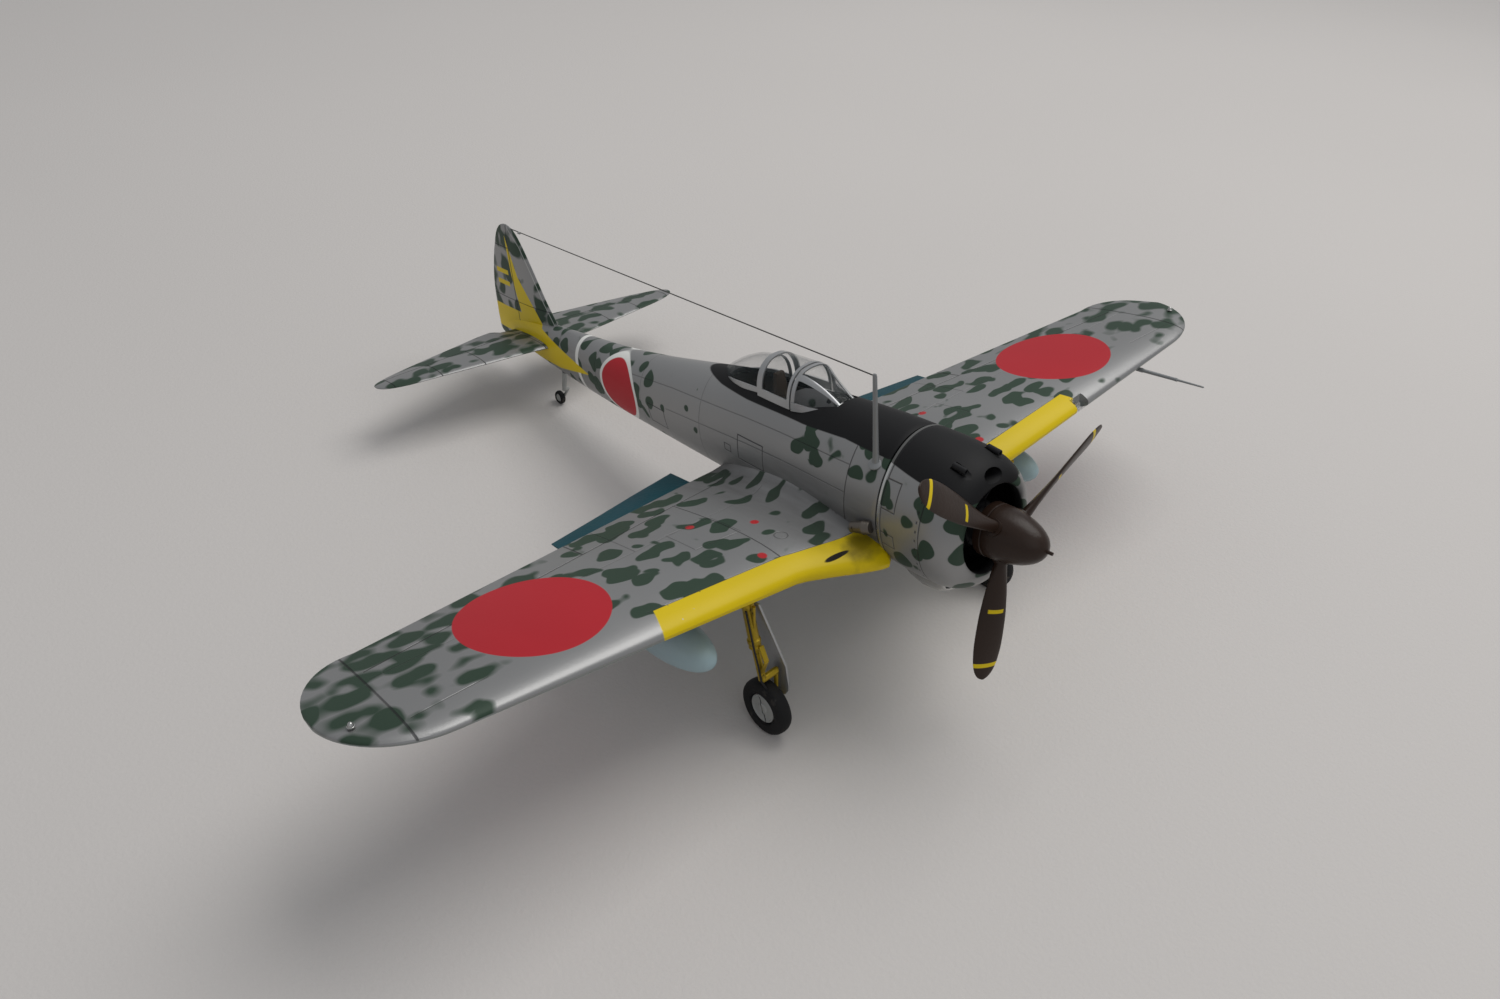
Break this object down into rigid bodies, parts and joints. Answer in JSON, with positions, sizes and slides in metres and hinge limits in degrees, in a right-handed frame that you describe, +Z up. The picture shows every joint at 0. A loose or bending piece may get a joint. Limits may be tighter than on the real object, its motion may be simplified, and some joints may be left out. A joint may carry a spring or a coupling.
{
  "type": "propeller plane model",
  "caption": "Static scale model of a low-wing radial-engine fighter on its undercarriage, with turning propeller and wheels and a sliding canopy hood.",
  "frame": {"origin": "floor level, below the centre of the model's bounding box", "axes": "-Y is where the nose points, +X is the left wing, +Z is up; the model stands on its three wheels, nose up"},
  "size_m": [0.2256, 0.1854, 0.069],
  "materials": {
    "silver_lacquer": "satin silver-grey lacquer over plastic with dark green airbrushed blotches",
    "propeller_brown": "satin dark brown paint",
    "matt_black": "matt black paint",
    "bare_metal": "bright metal paint",
    "tyre_black": "matt black painted tyre",
    "bush_plastic": "soft black moulded bush",
    "interior_teal": "dark translucent teal over metal",
    "cockpit_brown": "matt dark brown paint",
    "tank_blue_grey": "satin pale blue-grey paint",
    "leg_yellow_metal": "yellow-olive metallic paint",
    "clear_styrene": "clear polished moulding with painted frames",
    "aerial_wire": "fine grey stretched thread"
  },
  "bodies": {
    "airframe": {"antenna_mast": "silver_lacquer", "antenna_wire": "aerial_wire", "canopy_rear": "clear_styrene", "cockpit_floor": "cockpit_brown", "control_stick": "matt_black", "cowling": "silver_lacquer", "drop_tank_left": "tank_blue_grey", "drop_tank_right": "tank_blue_grey", "engine_front_row": "matt_black", "engine_gear_case": "matt_black", "engine_rear_row": "matt_black", "exhaust_left": "bare_metal", "exhaust_right": "bare_metal", "firewall": "matt_black", "flap_left": "interior_teal", "flap_right": "interior_teal", "fuselage_left": "silver_lacquer", "fuselage_right": "silver_lacquer", "gear_cover_left": "silver_lacquer", "gear_cover_right": "silver_lacquer", "gear_leg_left": "leg_yellow_metal", "gear_leg_right": "leg_yellow_metal", "gunsight": "matt_black", "headrest": "cockpit_brown", "instrument_panel": "matt_black", "landing_light_cover": "clear_styrene", "oil_cooler": "bare_metal", "pitot_tube": "bare_metal", "seat": "cockpit_brown", "shaft_bush": "bush_plastic", "tail_leg": "silver_lacquer", "tailplane_left": "silver_lacquer", "tailplane_right": "silver_lacquer", "tank_pylon_left": "tank_blue_grey", "tank_pylon_right": "tank_blue_grey", "windscreen": "clear_styrene", "wing_lower": "silver_lacquer", "wing_upper_left": "silver_lacquer", "wing_upper_right": "silver_lacquer", "wingtip_light_left": "clear_styrene", "wingtip_light_right": "clear_styrene"},
    "propeller_assembly": {"propeller": "propeller_brown", "spinner": "propeller_brown", "spinner_backplate": "propeller_brown", "propeller_shaft": "bare_metal"},
    "wheel_left": {"wheel_left_hub": "bare_metal", "wheel_left_tyre": "tyre_black"},
    "wheel_right": {"wheel_right_hub": "bare_metal", "wheel_right_tyre": "tyre_black"},
    "tail_wheel": {"tail_wheel_hub": "bare_metal", "tail_wheel_tyre": "tyre_black"},
    "hood": {"canopy_hood": "clear_styrene"}
  },
  "joints": [
    {"name": "propeller_spin", "type": "hinge", "parent": "airframe", "child": "propeller_assembly", "pos_m": [0, -0.08265, 0.04577], "axis": [0, -0.9836, 0.1806], "continuous": true},
    {"name": "wheel_left_spin", "type": "hinge", "parent": "airframe", "child": "wheel_left", "pos_m": [0.0346, -0.06098, 0.006], "axis": [1, 0, 0], "continuous": true},
    {"name": "wheel_right_spin", "type": "hinge", "parent": "airframe", "child": "wheel_right", "pos_m": [-0.0346, -0.06098, 0.006], "axis": [1, 0, 0], "continuous": true},
    {"name": "tail_wheel_spin", "type": "hinge", "parent": "airframe", "child": "tail_wheel", "pos_m": [0, 0.0621, 0.0019], "axis": [1, 0, 0], "continuous": true},
    {"name": "canopy_slide", "type": "slide", "parent": "airframe", "child": "hood", "axis": [0, 0.9836, -0.1806], "range_m": [0, 0.0085]}
  ]
}
